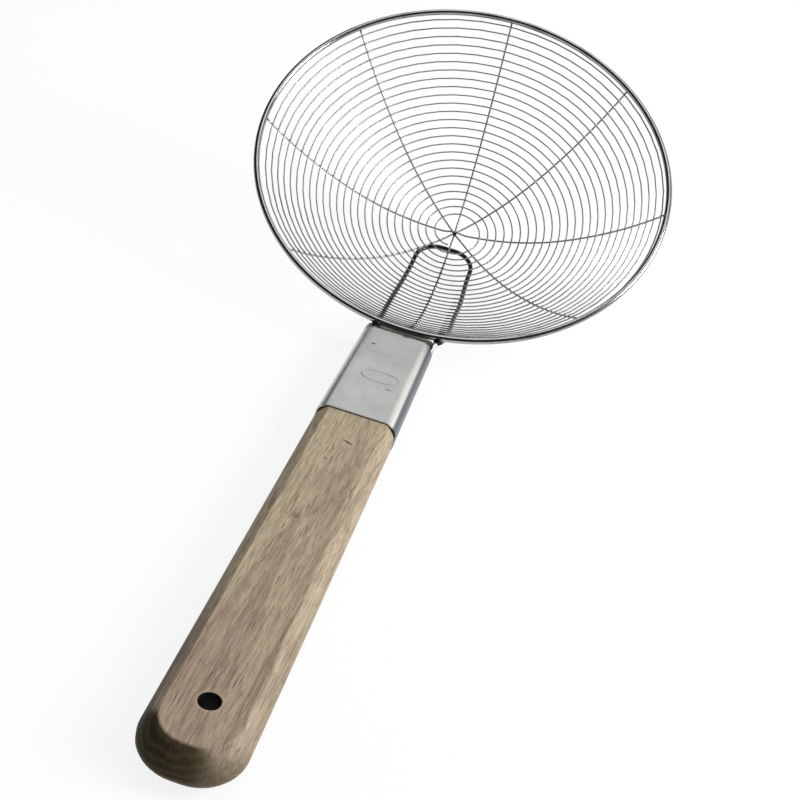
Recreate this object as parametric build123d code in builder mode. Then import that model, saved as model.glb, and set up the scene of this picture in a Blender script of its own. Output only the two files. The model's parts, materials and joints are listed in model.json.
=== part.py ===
from build123d import *
import os
from math import asin, atan2, cos, degrees, radians, sin, sqrt

# Spider skimmer: a shallow wire bowl on a flat wooden handle.
# It lies as on a table: +Z up, the handle's underside on Z = 0, the handle towards -Y,
# and the origin under the middle of the whole skimmer. Millimetres and degrees.

# Bowl
rim_diameter = 220.0            # outside of the rim wire
rim_wire = 3.2
bowl_depth = 60.0               # from the rim's plane down to the crossing of the wires
bowl_tilt = 29.0                # the rim's plane against the handle's underside
dome_share = 0.885              # bottom arc's radius as a share of a plain dome's
bottom_reach_share = 0.55       # where the bottom arc ends, as a share of the rim's radius
cross_wire = 1.0
spiral_wire = 0.8
spiral_turns = 24
spiral_inner_radius = 9.4       # the free inner end, from the bowl's axis
spiral_rim_distance = 4.2       # from the last turn to the rim wire, along the slope
spiral_start_angle = 264.0
hub_reach = 7.0                 # where the cross wires leave the bowl's form to pass each other
weld_gap = 0.03                 # clear space left where two wires are welded

# Support loop
loop_wire = 2.5
loop_width = 31.0               # between the middles of the two legs, at the rim and in the ferrule
loop_middle_width = 34.0        # the same, halfway down the bowl
loop_top = 10.6                 # from the bowl's axis to the closed end
loop_corner = 11.0
leg_bend = 14.5                 # from the rim back to where a leg runs level
leg_grip = 36.0                 # level run of a leg inside the ferrule
leg_clearance = 0.35            # round a leg, where it passes through the sheet

# Ferrule
ferrule_width = 37.0
nose_width = 35.2
nose_corner = 8.0               # in plan
ferrule_height = 16.0
ferrule_length = 79.5           # top face, from the joint to its front edge
ferrule_sheet = 0.6
ferrule_corner = 5.5
nose_length = 12.0              # the sloped front past the top face
nose_height = 6.5
rim_to_top_edge = 5.7           # from the top face's front edge to the rim wire's middle
stamp_width = 18.5              # plain oval pressed into the top face
stamp_length = 10.0
stamp_line = 0.6
stamp_depth = 0.15
stamp_inset = 44.0              # from the top face's front edge

# Handle
handle_length = 216.0           # wood outside the ferrule
joint_step = 0.5                # the sheet stands this much proud of the wood
joint_gap = 0.3
butt_width = 37.7
butt_height = 14.0
butt_corner = 17.0              # in plan
handle_edge = 5.3               # rounding along the edges
tenon_clearance = 0.15
tenon_front_gap = 9.5           # from the top face's front edge back to the tenon
groove_clearance = 0.1
hang_hole = 8.0
hang_hole_inset = 28.0          # from the butt's end

overrun = 5.0                   # how far cuts run past what they cut

# Places along the skimmer, first counted from the ferrule's top front edge
rim_radius = (rim_diameter - rim_wire) / 2
rim_centre_y = rim_to_top_edge + rim_radius * cos(radians(bowl_tilt))
bowl_end_y = rim_centre_y + rim_radius * cos(radians(bowl_tilt)) + rim_wire / 2
butt_end_y = -ferrule_length - handle_length
origin_y = (bowl_end_y + butt_end_y) / 2
top_edge_y = -origin_y
joint_y = top_edge_y - ferrule_length
butt_y = joint_y - handle_length
nose_y = top_edge_y + nose_length
rim_centre_z = ferrule_height + rim_radius * sin(radians(bowl_tilt))

bowl = Plane(
    origin=(0, top_edge_y + rim_centre_y, rim_centre_z),
    x_dir=(1, 0, 0),
    z_dir=(0, -sin(radians(bowl_tilt)), cos(radians(bowl_tilt))),
)

# Section of the bowl through the cross wires: a bottom arc, then a flatter arc up to the rim wire
dome_radius = (rim_radius**2 + bowl_depth**2) / (2 * bowl_depth)
bottom_radius = dome_share * dome_radius
bottom_reach = bottom_reach_share * rim_radius
bottom_angle = asin(bottom_reach / bottom_radius)
bottom_rise = bottom_radius * (1 - cos(bottom_angle))
wall_chord_angle = atan2(bowl_depth - bottom_rise, rim_radius - bottom_reach)
rim_angle = 2 * wall_chord_angle - bottom_angle
wall_radius = (rim_radius - bottom_reach) / (sin(rim_angle) - sin(bottom_angle))
bottom_length = bottom_radius * bottom_angle
section_length = bottom_length + wall_radius * (rim_angle - bottom_angle)

loop_drop = (cross_wire + loop_wire) / 2 + weld_gap
spiral_lift = (cross_wire + spiral_wire) / 2 + weld_gap


def slope_at_length(length):
    """Slope of the bowl's section at a distance along it from the bowl's axis."""
    if length < bottom_length:
        return length / bottom_radius
    return bottom_angle + (length - bottom_length) / wall_radius


def section_point(slope, lift):
    """Radius and height in the bowl's section where it has a slope, raised by lift."""
    if slope < bottom_angle:
        radius = bottom_radius * sin(slope)
        height = bottom_radius * (1 - cos(slope)) - bowl_depth
    else:
        radius = bottom_reach + wall_radius * (sin(slope) - sin(bottom_angle))
        height = bottom_rise + wall_radius * (cos(bottom_angle) - cos(slope)) - bowl_depth
    return radius - lift * sin(slope), height + lift * cos(slope)


def bowl_point(slope, angle, lift):
    """Point of the bowl at a slope and an angle in degrees round its axis."""
    radius, height = section_point(slope, lift)
    turn = radians(angle)
    return bowl.from_local_coords(Vector(radius * cos(turn), radius * sin(turn), height))


def bowl_direction(x, y, z):
    """Direction given along the bowl's own axes."""
    across = bowl.x_dir * x + bowl.y_dir * y
    return (across + bowl.z_dir * z).normalized()


def add_biarcs(stations):
    """Two tangent arcs from each station, a point and its direction, to the next."""
    for (start, start_way), (end, end_way) in zip(stations, stations[1:]):
        step = end - start
        along = step.dot(start_way + end_way)
        spread = 2 * (1 - start_way.dot(end_way))
        reach = step.dot(step) / (along + sqrt(along**2 + spread * step.dot(step)))
        start_corner = start + start_way * reach
        end_corner = end - end_way * reach
        middle = (start_corner + end_corner) * (1 / 2)
        middle_way = (end_corner - start_corner).normalized()
        TangentArc(start, middle, tangent=start_way)
        TangentArc(middle, end, tangent=middle_way)


def mirrored(stations):
    """The same stations on the other side of X = 0, in the opposite order."""
    other_side = []
    for place, way in reversed(stations):
        other_side.append((Vector(-place.X, place.Y, place.Z), Vector(way.X, -way.Y, -way.Z)))
    return other_side


def start_plane(path):
    """Plane square to the start of a path."""
    return Plane(origin=path @ 0, z_dir=path % 0)


os.makedirs("parts", exist_ok=True)

# Rim: one heavy wire bent to a ring and welded closed
with BuildPart() as rim_ring:
    with BuildSketch(Plane(origin=bowl.origin, x_dir=bowl.x_dir, z_dir=-bowl.y_dir)):
        with Locations((rim_radius, 0)):
            Circle(rim_wire / 2)
    revolve(axis=Axis(bowl.origin, bowl.z_dir))
rim_ring.part.label = "rim_ring"
export_step(rim_ring.part, "parts/rim_ring.step")

# Cross wires: four wires from rim to rim, which pass over each other where they cross
cross_wire_angles = (92.0, 139.0, 50.0, 4.0)
hub_pitch = cross_wire + weld_gap
hub_slope = asin(hub_reach / bottom_radius)
rim_end_slope = rim_angle - (rim_wire / 2 + weld_gap) / wall_radius


def cross_wire_stations(angle, hub_lift):
    """Stations of one cross wire, from its rim end at an angle to the opposite one."""
    outward = Vector(cos(radians(angle)), sin(radians(angle)), 0)
    stations = []
    for side in (1, -1):
        slopes = [rim_end_slope, bottom_angle, hub_slope]
        if side < 0:
            slopes.reverse()
            hub = bowl.from_local_coords(Vector(0, 0, hub_lift - bowl_depth))
            stations.append((hub, bowl_direction(-outward.X, -outward.Y, 0)))
        for slope in slopes:
            place = bowl_point(slope, angle if side > 0 else angle + 180, 0)
            flat = outward * -cos(slope)
            way = bowl_direction(flat.X, flat.Y, -side * sin(slope))
            stations.append((place, way))
    return stations


for count, angle in enumerate(cross_wire_angles):
    hub_lift = (count - (len(cross_wire_angles) - 1) / 2) * hub_pitch
    with BuildPart() as wire:
        with BuildLine() as wire_path:
            add_biarcs(cross_wire_stations(angle, hub_lift))
        with BuildSketch(start_plane(wire_path.line)):
            Circle(cross_wire / 2)
        sweep(path=wire_path.line)
    name = f"cross_wire_{count + 1}"
    wire.part.label = name
    export_step(wire.part, f"parts/{name}.step")

# Spiral: one thin wire wound outwards over the cross wires, at an even pitch along the slope
spiral_inner_length = bottom_radius * asin(spiral_inner_radius / bottom_radius)
spiral_pitch = (section_length - spiral_rim_distance - spiral_inner_length) / spiral_turns


def spiral_point(turns):
    """Middle of the spiral wire after a number of turns."""
    slope = slope_at_length(spiral_inner_length + spiral_pitch * turns)
    return bowl_point(slope, spiral_start_angle - 360 * turns, spiral_lift)


half_turns = 2 * spiral_turns
small_turn_share = 1 / 1000
spiral_stations = []
for half_turn in range(half_turns + 1):
    turns = half_turn / 2
    ahead = spiral_point(turns + small_turn_share)
    behind = spiral_point(turns - small_turn_share)
    spiral_stations.append((spiral_point(turns), (ahead - behind).normalized()))

with BuildPart() as spiral:
    with BuildLine() as spiral_path:
        add_biarcs(spiral_stations)
    with BuildSketch(start_plane(spiral_path.line)):
        Circle(spiral_wire / 2)
    sweep(path=spiral_path.line)
spiral.part.label = "spiral_wire"
export_step(spiral.part, "parts/spiral_wire.step")

# Least gap of the spiral to itself, measured between points at least half a turn apart
samples_per_turn = 24
samples = [spiral_point(step / samples_per_turn) for step in range(spiral_turns * samples_per_turn)]
least_gap = rim_diameter
for index, here in enumerate(samples):
    for there in samples[index + samples_per_turn // 2:]:
        least_gap = min(least_gap, (there - here).length - spiral_wire)
print(f"spiral_wire: {spiral_turns} turns, least gap to itself {least_gap:.2f} mm")
print(f"spiral_wire: length {spiral_path.wires()[0].length:.0f} mm, pitch {spiral_pitch:.2f} mm")

# Support loop: a heavy wire under the bowl, welded to the rim, with both legs in the ferrule
leg_x = loop_width / 2
leg_z = ferrule_height / 2
rim_crossing_y = sqrt(rim_radius**2 - leg_x**2)
rim_clearance = (rim_wire + loop_wire) / 2 + 2 * weld_gap
leg_level_y = bowl.from_local_coords(Vector(leg_x, -rim_crossing_y, 0)).Y - leg_bend
leg_end_y = leg_level_y - leg_grip


def under_bowl(x, y, way):
    """Station under the cross wires at a place and heading in the bowl's plan."""
    def place(offset):
        plan = Vector(x, y) + way * offset
        slope = slope_at_radius(plan.length)
        return bowl_point(slope, degrees(atan2(plan.Y, plan.X)), -loop_drop)
    small_step = loop_wire / 100
    return place(0), (place(small_step) - place(-small_step)).normalized()


def slope_at_radius(radius):
    """Slope of the bowl's section at a radius from the bowl's axis."""
    if radius < bottom_reach:
        return asin(radius / bottom_radius)
    return asin(sin(bottom_angle) + (radius - bottom_reach) / wall_radius)


rim_slope_way = bowl_direction(0, -cos(rim_angle), sin(rim_angle))
rim_down_way = bowl_direction(0, -sin(rim_angle), -cos(rim_angle))
rim_crossing = bowl.from_local_coords(Vector(leg_x, -rim_crossing_y, 0))
handle_way = Vector(0, -1, 0)
right_leg = [
    under_bowl(leg_x - loop_corner, -loop_top, Vector(1, 0)),
    under_bowl(leg_x, -loop_top - loop_corner, Vector(0, -1)),
    under_bowl(loop_middle_width / 2, -bottom_reach, Vector(0, -1)),
    (rim_crossing + rim_down_way * rim_clearance, rim_slope_way),
    (Vector(leg_x, leg_level_y, leg_z), handle_way),
]
closed_end = under_bowl(0, -loop_top, Vector(1, 0))
loop_stations = mirrored(right_leg) + [closed_end] + right_leg
left_tip = Vector(-leg_x, leg_end_y, leg_z)
right_tip = Vector(leg_x, leg_end_y, leg_z)

with BuildPart() as support_loop:
    with BuildLine() as loop_path:
        Line(left_tip, loop_stations[0][0])
        add_biarcs(loop_stations)
        Line(loop_stations[-1][0], right_tip)
    with BuildSketch(start_plane(loop_path.line)):
        Circle(loop_wire / 2)
    sweep(path=loop_path.line)
support_loop.part.label = "support_loop"
export_step(support_loop.part, "parts/support_loop.step")

# Ferrule: folded sheet sleeve, open at the joint, with a sloped and closed front
nose_slope = Plane(
    origin=(0, top_edge_y, ferrule_height),
    x_dir=(1, 0, 0),
    z_dir=(0, ferrule_height - nose_height, nose_length),
)


def sleeve(inset, back_y):
    """The ferrule's outline as a solid from back_y on, drawn in by inset on its other sides."""
    with BuildPart() as body:
        with BuildSketch(Plane.XY.offset(inset)):
            with BuildLine():
                Polyline(
                    (ferrule_width / 2 - inset, back_y),
                    (nose_width / 2 - inset, nose_y),
                    (inset - nose_width / 2, nose_y),
                    (inset - ferrule_width / 2, back_y),
                    close=True,
                )
            make_face()
        extrude(amount=ferrule_height - 2 * inset)
        long_edges = body.edges().sort_by(SortBy.LENGTH)[-4:]
        fillet(long_edges, ferrule_corner - inset)
        split(bisect_by=nose_slope.offset(-inset), keep=Keep.BOTTOM)
        with BuildSketch() as plan:
            with Locations((0, (nose_y - inset + back_y) / 2)):
                Rectangle(ferrule_width, nose_y - inset - back_y)
            fillet(plan.vertices().group_by(Axis.Y)[-1], nose_corner - inset)
        extrude(amount=ferrule_height, mode=Mode.INTERSECT)
    return body.part


outside = sleeve(0, joint_y)
inside = sleeve(ferrule_sheet, joint_y)
with BuildPart() as ferrule:
    add(outside)
    add(inside, mode=Mode.SUBTRACT)
    with BuildSketch(Plane.XY.offset(ferrule_height)):
        with Locations((0, top_edge_y - stamp_inset)):
            Ellipse(stamp_width / 2, stamp_length / 2)
            Ellipse(stamp_width / 2 - stamp_line, stamp_length / 2 - stamp_line, mode=Mode.SUBTRACT)
    extrude(amount=-stamp_depth, mode=Mode.SUBTRACT)
    for side in (1, -1):
        with BuildLine() as leg_entry:
            entry = [(Vector(side * place.X, place.Y, place.Z), way) for place, way in right_leg[-2:]]
            add_biarcs(entry)
        with BuildSketch(start_plane(leg_entry.line)):
            Circle(loop_wire / 2 + leg_clearance)
        sweep(path=leg_entry.line, mode=Mode.SUBTRACT)
ferrule.part.label = "ferrule"
export_step(ferrule.part, "parts/ferrule.step")

# Handle: one wooden bar with a tenon in the ferrule, grooves for the legs and a hanging hole
body_front_y = joint_y - joint_gap
joint_width = ferrule_width - 2 * joint_step
joint_height = ferrule_height - 2 * joint_step
tenon_front_y = top_edge_y - tenon_front_gap
groove_radius = loop_wire / 2 + groove_clearance
tenon_form = sleeve(ferrule_sheet + tenon_clearance, body_front_y)

with BuildPart() as tenon:
    add(tenon_form)
    split(bisect_by=Plane.XZ.offset(-tenon_front_y), keep=Keep.TOP)

with BuildPart() as handle:
    with BuildSketch() as plan:
        with BuildLine():
            Polyline(
                (joint_width / 2, body_front_y),
                (butt_width / 2, butt_y),
                (-butt_width / 2, butt_y),
                (-joint_width / 2, body_front_y),
                close=True,
            )
        make_face()
        fillet(plan.vertices().group_by(Axis.Y)[0], butt_corner)
    extrude(amount=ferrule_height)
    with BuildSketch(Plane.YZ) as side_view:
        with BuildLine():
            Polyline(
                (body_front_y, joint_step),
                (butt_y, 0),
                (butt_y, butt_height),
                (body_front_y, joint_step + joint_height),
                close=True,
            )
        make_face()
    extrude(amount=ferrule_width, both=True, mode=Mode.INTERSECT)
    long_edges = handle.faces().filter_by(Axis.Z, tolerance=1).edges()
    fillet(long_edges.filter_by_position(Axis.Y, butt_y, body_front_y - joint_gap), handle_edge)
    add(tenon.part)
    with BuildSketch(Plane.XZ.offset(-leg_level_y)):
        for side in (1, -1):
            with Locations((side * leg_x, leg_z)):
                Circle(groove_radius)
            with Locations((side * (leg_x + overrun), leg_z)):
                Rectangle(2 * overrun, 2 * groove_radius)
    extrude(amount=leg_grip + groove_clearance, mode=Mode.SUBTRACT)
    with Locations((0, butt_y + hang_hole_inset, butt_height)):
        Hole(hang_hole / 2)
handle.part.label = "handle"
export_step(handle.part, "parts/handle.step")

print(f"overall length {bowl_end_y - butt_end_y:.1f} mm, rim centre at z {rim_centre_z:.1f} mm")
print(f"hang hole at y {butt_y + hang_hole_inset:.2f} mm")
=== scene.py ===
import bpy
import bmesh
import json
from math import asin, atan2, cos, degrees, exp, pi, radians, sin, sqrt, tan
from mathutils import Matrix, Vector

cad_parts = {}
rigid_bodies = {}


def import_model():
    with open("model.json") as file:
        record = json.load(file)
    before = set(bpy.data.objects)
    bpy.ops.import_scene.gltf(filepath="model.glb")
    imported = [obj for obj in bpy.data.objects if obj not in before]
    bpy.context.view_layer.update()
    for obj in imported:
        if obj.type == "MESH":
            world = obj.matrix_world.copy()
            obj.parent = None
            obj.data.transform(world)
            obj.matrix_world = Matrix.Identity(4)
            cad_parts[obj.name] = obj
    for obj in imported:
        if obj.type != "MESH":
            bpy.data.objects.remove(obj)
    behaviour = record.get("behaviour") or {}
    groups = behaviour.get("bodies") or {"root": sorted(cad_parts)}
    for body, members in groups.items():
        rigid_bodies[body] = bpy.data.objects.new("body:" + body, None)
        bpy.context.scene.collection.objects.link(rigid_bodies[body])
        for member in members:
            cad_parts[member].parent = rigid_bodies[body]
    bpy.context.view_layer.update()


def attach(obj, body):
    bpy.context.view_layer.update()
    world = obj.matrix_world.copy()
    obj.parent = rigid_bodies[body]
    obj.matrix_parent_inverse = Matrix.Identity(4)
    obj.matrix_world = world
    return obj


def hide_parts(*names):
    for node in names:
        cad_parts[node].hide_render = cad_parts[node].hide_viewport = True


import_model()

mm = 0.001
root = "root"
spanSteps = 24        # steps of a bent wire from one station to the next
mergeReach = 0.002    # mm, points of a wire nearer than this become one
upright = 5.0         # mm, an edge that rises more than this stands upright
slack = 0.01          # mm, room for rounding when a place is compared


# Helpers for modelling

def startFresh():
    if bpy.context.object and bpy.context.object.mode != "OBJECT":
        bpy.ops.object.mode_set(mode="OBJECT")
    bpy.ops.object.select_all(action="DESELECT")


def newest(name):
    piece = bpy.context.object
    piece.name = name
    piece.data.name = name
    return piece


def focus(piece):
    startFresh()
    piece.select_set(True)
    bpy.context.view_layer.objects.active = piece


def edit(piece):
    focus(piece)
    bpy.ops.object.mode_set(mode="EDIT")


def pick(piece, test, kind="VERT"):
    # selects the vertices, edges or faces of a piece in edit mode that pass the test
    bpy.ops.mesh.select_mode(type=kind)
    bpy.ops.mesh.select_all(action="DESELECT")
    shape = bmesh.from_edit_mesh(piece.data)
    group = {"VERT": shape.verts, "EDGE": shape.edges, "FACE": shape.faces}[kind]
    for part in group:
        if test(part):
            part.select_set(True)
    shape.select_flush_mode()
    bmesh.update_edit_mesh(piece.data)


def rise(edge):
    return abs(edge.verts[0].co.z - edge.verts[1].co.z) / mm


def done(piece):
    if piece.mode != "OBJECT":
        bpy.ops.object.mode_set(mode="OBJECT")
    focus(piece)
    bpy.ops.object.transform_apply(location=True, rotation=True, scale=True)
    return piece


def modify(piece, kind, **settings):
    focus(piece)
    change = piece.modifiers.new(kind.title(), kind)
    for name, value in settings.items():
        setattr(change, name, value)
    bpy.ops.object.modifier_apply(modifier=change.name)


def cutAway(piece, cutter):
    modify(piece, "BOOLEAN", object=cutter, operation="DIFFERENCE", solver="EXACT",
           use_self=True)
    bpy.data.objects.remove(cutter)


def smooth(piece, angle):
    focus(piece)
    bpy.ops.object.shade_smooth_by_angle(angle=radians(angle))


def joined(pieces, name):
    startFresh()
    for piece in pieces:
        piece.select_set(True)
    bpy.context.view_layer.objects.active = pieces[0]
    bpy.ops.object.join()
    return newest(name)


def tube(name, places, wire, sides):
    # a round wire through a list of places
    startFresh()
    bpy.ops.curve.primitive_nurbs_path_add()
    path = newest(name)
    line = path.data
    line.splines.clear()
    strand = line.splines.new("POLY")
    strand.points.add(len(places) - 1)
    for point, place in zip(strand.points, places):
        point.co = (*place, 1)
    return wireFrom(path, wire, sides)


def bentWire(name, stations, wire, sides):
    # a round wire through stations, each a place and the way the wire runs there
    startFresh()
    bpy.ops.curve.primitive_bezier_curve_add()
    path = newest(name)
    strand = path.data.splines[0]
    strand.bezier_points.add(len(stations) - 2)
    path.data.resolution_u = spanSteps
    for index, (place, way) in enumerate(stations):
        point = strand.bezier_points[index]
        point.handle_left_type = point.handle_right_type = "FREE"
        reaches = []
        for other in (max(index - 1, 0), min(index + 1, len(stations) - 1)):
            chord = (stations[other][0] - place).length
            turn = way.angle(stations[other][1])
            reaches.append(chord / 3 / cos(turn / 4) ** 2)
        point.co = place
        point.handle_left = place - way * reaches[0]
        point.handle_right = place + way * reaches[1]
    return wireFrom(path, wire, sides)


def wireFrom(path, wire, sides):
    path.data.dimensions = "3D"
    path.data.bevel_depth = wire / 2
    path.data.bevel_resolution = sides
    path.data.use_fill_caps = True
    path.data.twist_mode = "MINIMUM"
    focus(path)
    bpy.ops.object.convert(target="MESH")
    piece = done(bpy.context.object)
    edit(piece)
    bpy.ops.mesh.select_all(action="SELECT")
    bpy.ops.mesh.remove_doubles(threshold=mergeReach * mm)
    bpy.ops.mesh.normals_make_consistent(inside=False)
    bpy.ops.object.mode_set(mode="OBJECT")
    for face in piece.data.polygons:
        face.use_smooth = True
    return piece


# Helpers for finishes

class Strand:
    # one output of a node: sums on it add Math nodes, and node() adds any other
    def __init__(self, tree, socket):
        self.tree = tree
        self.socket = socket

    def node(self, kind, settings=None, values=None, output=0):
        made = self.tree.nodes.new(kind)
        for name, value in (settings or {}).items():
            setattr(made, name, value)
        for name, value in (values or {}).items():
            socket = made.inputs[name]
            if isinstance(value, Strand):
                self.tree.links.new(value.socket, socket)
            else:
                socket.default_value = value
        return Strand(self.tree, made.outputs[output]) if made.outputs else made

    def sum(self, operation, first, second=0.0):
        return self.node("ShaderNodeMath", {"operation": operation}, {0: first, 1: second})

    def __add__(self, other):
        return self.sum("ADD", self, other)

    def __radd__(self, other):
        return self.sum("ADD", other, self)

    def __sub__(self, other):
        return self.sum("SUBTRACT", self, other)

    def __rsub__(self, other):
        return self.sum("SUBTRACT", other, self)

    def __mul__(self, other):
        return self.sum("MULTIPLY", self, other)

    def __rmul__(self, other):
        return self.sum("MULTIPLY", other, self)

    def __truediv__(self, other):
        return self.sum("DIVIDE", self, other)

    def __pow__(self, other):
        return self.sum("POWER", self, other)

    def top(self, other):
        return self.sum("MAXIMUM", self, other)

    def low(self, other):
        return self.sum("MINIMUM", self, other)

    def band(self, start, end, first=0.0, last=1.0):
        # 0 to 1, or first to last, as this value goes from start to end
        return self.node(
            "ShaderNodeMapRange", {"interpolation_type": "SMOOTHSTEP"},
            {"Value": self, "From Min": start, "From Max": end, "To Min": first, "To Max": last})

    def blend(self, shadeA, shadeB):
        # from colour A to colour B as this value goes from 0 to 1
        made = self.tree.nodes.new("ShaderNodeMix")
        made.data_type = "RGBA"
        for socket, value in ((0, self), (6, shadeA), (7, shadeB)):
            if isinstance(value, Strand):
                self.tree.links.new(value.socket, made.inputs[socket])
            else:
                made.inputs[socket].default_value = (*value, 1)
        return Strand(self.tree, made.outputs[2])


def finish(name, **fixed):
    # a new material: its start, with Object coordinates, and its surface node
    made = bpy.data.materials.new(name)
    made.use_nodes = True
    tree = made.node_tree
    surface = tree.nodes["Principled BSDF"]
    for socket, value in fixed.items():
        surface.inputs[socket.replace("_", " ")].default_value = value
    place = tree.nodes.new("ShaderNodeTexCoord")
    return made, Strand(tree, place.outputs["Object"]), surface


def feed(surface, **values):
    for name, value in values.items():
        value.tree.links.new(value.socket, surface.inputs[name.replace("_", " ")])


def stretched(place, size, turn=(0, 0, 0), shift=(0, 0, 0)):
    return place.node(
        "ShaderNodeMapping", None,
        {"Vector": place, "Location": shift, "Rotation": turn, "Scale": size})


def grain(place, size, detail=3.0, roughness=0.55, distortion=0.0):
    return place.node(
        "ShaderNodeTexNoise", None,
        {"Vector": place, "Scale": size, "Detail": detail, "Roughness": roughness,
         "Distortion": distortion})


def raised(height, strength, depth):
    return height.node(
        "ShaderNodeBump", None, {"Height": height, "Strength": strength, "Distance": depth * mm})


def between(mask, finishes, first="shade", last="dark"):
    # from one colour of a finish to another as the mask goes from 0 to 1
    return mask.blend(finishes[first], finishes[last])


def axes(place):
    made = place.tree.nodes.new("ShaderNodeSeparateXYZ")
    place.tree.links.new(place.socket, made.inputs[0])
    return [Strand(place.tree, output) for output in made.outputs]


def dress(piece, material, slot, *nodes):
    piece.data.materials.clear()
    piece.data.materials.append(material)
    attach(piece, root)
    if nodes:
        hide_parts(*nodes)


# The bowl's form, shared by its wires

bowl = {
    "rimRadius": 108.4,
    "depth": 60.0,
    "tilt": 29.0,
    "domeShare": 0.885,       # bottom arc against a plain dome
    "reachShare": 0.55,
    "centreY": 149.799,
    "centreZ": 68.554,
    "hubShift": 1.5,          # the hub lies a little off the rim's middle
}
domeRadius = (bowl["rimRadius"] ** 2 + bowl["depth"] ** 2) / (2 * bowl["depth"])
bottomRadius = bowl["domeShare"] * domeRadius
bottomReach = bowl["reachShare"] * bowl["rimRadius"]
bottomAngle = asin(bottomReach / bottomRadius)
bottomRise = bottomRadius * (1 - cos(bottomAngle))
chordAngle = atan2(bowl["depth"] - bottomRise, bowl["rimRadius"] - bottomReach)
rimAngle = 2 * chordAngle - bottomAngle
wallRadius = (bowl["rimRadius"] - bottomReach) / (sin(rimAngle) - sin(bottomAngle))
bottomLength = bottomRadius * bottomAngle
rimLength = bottomLength + wallRadius * (rimAngle - bottomAngle)
tilted = Matrix.Rotation(radians(bowl["tilt"]), 3, "X")
bowlCentre = Vector((0, bowl["centreY"], bowl["centreZ"]))


def fromBowl(x, y, z):
    shift = bowl["hubShift"] * (1 - (x * x + y * y) / bowl["rimRadius"] ** 2)
    return (bowlCentre + tilted @ Vector((x + shift, y, z))) * mm


def bowlWay(x, y, z):
    return (tilted @ Vector((x, y, z))).normalized()


def slopeAt(length):
    if length < bottomLength:
        return length / bottomRadius
    return bottomAngle + (length - bottomLength) / wallRadius


def slopeAtRadius(radius):
    if radius < bottomReach:
        return asin(radius / bottomRadius)
    return asin(sin(bottomAngle) + (radius - bottomReach) / wallRadius)


def section(slope, lift):
    if slope < bottomAngle:
        radius = bottomRadius * sin(slope)
        height = bottomRadius * (1 - cos(slope)) - bowl["depth"]
    else:
        radius = bottomReach + wallRadius * (sin(slope) - sin(bottomAngle))
        height = bottomRise + wallRadius * (cos(bottomAngle) - cos(slope)) - bowl["depth"]
    return radius - lift * sin(slope), height + lift * cos(slope)


def onBowl(slope, angle, lift):
    radius, height = section(slope, lift)
    return fromBowl(radius * cos(radians(angle)), radius * sin(radians(angle)), height)


print("bowl form: rim slope", round(degrees(rimAngle), 1), "length", round(rimLength, 1))


# Finishes of the steel wires

wireFinish = {
    "shade": (0.46, 0.465, 0.47), "dark": (0.2, 0.2, 0.21), "roughness": 0.48,
    "streakSize": 260.0, "stainSize": 38.0, "stainShare": 0.55, "streakShare": 0.2,
    "bump": 0.1, "bumpDepth": 0.05,
    "darkMarkAndShade": (0.03, 0.03, 0.03), "hubY": 178.9, "rimY": 55.0,
    # painted shade over the near spoke and the loop's two legs: place across at the hub, lean and bend
    # on the way to the rim, squares of the shade's outer and inner reach, where it begins and is full,
    # share
    "paintedShadeLines": (
        (1.5, 4.1, -1.8, 1.7, 0.8, 0.1, 0.25, 0.7),
        (15.0, 3.6, 0.0, 4.0, 2.2, 0.25, 0.5, 0.75),
        (-16.2, 0.0, 3.6, 4.0, 2.2, 0.25, 0.5, 0.75)),
}
meshSteel, place, surface = finish("meshSteel", Metallic=1.0)
streaks = grain(place, wireFinish["streakSize"], 4.0)
stain = grain(place, wireFinish["stainSize"], 2.0).band(0.52, 0.74)
acrossX, alongY, upZ = axes(place)
fromHub = (wireFinish["hubY"] - alongY / mm) / (wireFinish["hubY"] - wireFinish["rimY"])
shade = between(stain * wireFinish["stainShare"] + streaks * wireFinish["streakShare"], wireFinish)
# painted shade: the wires are darkened along the near spoke and over the loop's legs, where they lie in
# shade
for start, lean, bend, outer, inner, begins, full, share in wireFinish["paintedShadeLines"]:
    fromLine = acrossX / mm - (start + fromHub * lean + fromHub * fromHub * bend)
    paintedShade = (fromLine * fromLine).band(outer, inner) * fromHub.band(begins, full) * share
    shade = paintedShade.blend(shade, wireFinish["darkMarkAndShade"])
feed(surface,
     Base_Color=shade,
     Roughness=streaks.band(0.3, 0.7, wireFinish["roughness"] - 0.06, wireFinish["roughness"] + 0.1),
     Normal=raised(streaks, wireFinish["bump"], wireFinish["bumpDepth"]))

rimFinish = {
    "shade": (0.4, 0.405, 0.4), "dark": (0.22, 0.21, 0.19), "smooth": 0.12, "rough": 0.24,
    "hazeSize": 55.0, "scratchSize": 900.0, "bump": 0.08, "bumpDepth": 0.05,
}
rimSteel, place, surface = finish("rimSteel", Metallic=1.0)
haze = grain(place, rimFinish["hazeSize"])
scratches = grain(place, rimFinish["scratchSize"])
feed(surface,
     Base_Color=between(haze.band(0.5, 0.8), rimFinish),
     Roughness=haze.band(0.35, 0.7, rimFinish["smooth"], rimFinish["rough"]),
     Normal=raised(scratches, rimFinish["bump"], rimFinish["bumpDepth"]))

loopFinish = {
    "shade": (0.42, 0.42, 0.42), "dark": (0.06, 0.06, 0.062), "smooth": 0.16, "rough": 0.28,
    "hazeSize": 70.0, "brightTo": 55.5, "darkFrom": 57.5,   # along Y, the dark part lies under the mesh
}
loopSteel, place, surface = finish("loopSteel", Metallic=1.0)
# painted shade: the loop's colour is darkened where it lies under the mesh
paintedShadeUnderMesh = axes(place)[1].band(loopFinish["brightTo"] * mm, loopFinish["darkFrom"] * mm)
haze = grain(place, loopFinish["hazeSize"])
feed(surface,
     Base_Color=between(paintedShadeUnderMesh, loopFinish),
     Roughness=haze.band(0.35, 0.7, loopFinish["smooth"], loopFinish["rough"]))

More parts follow.
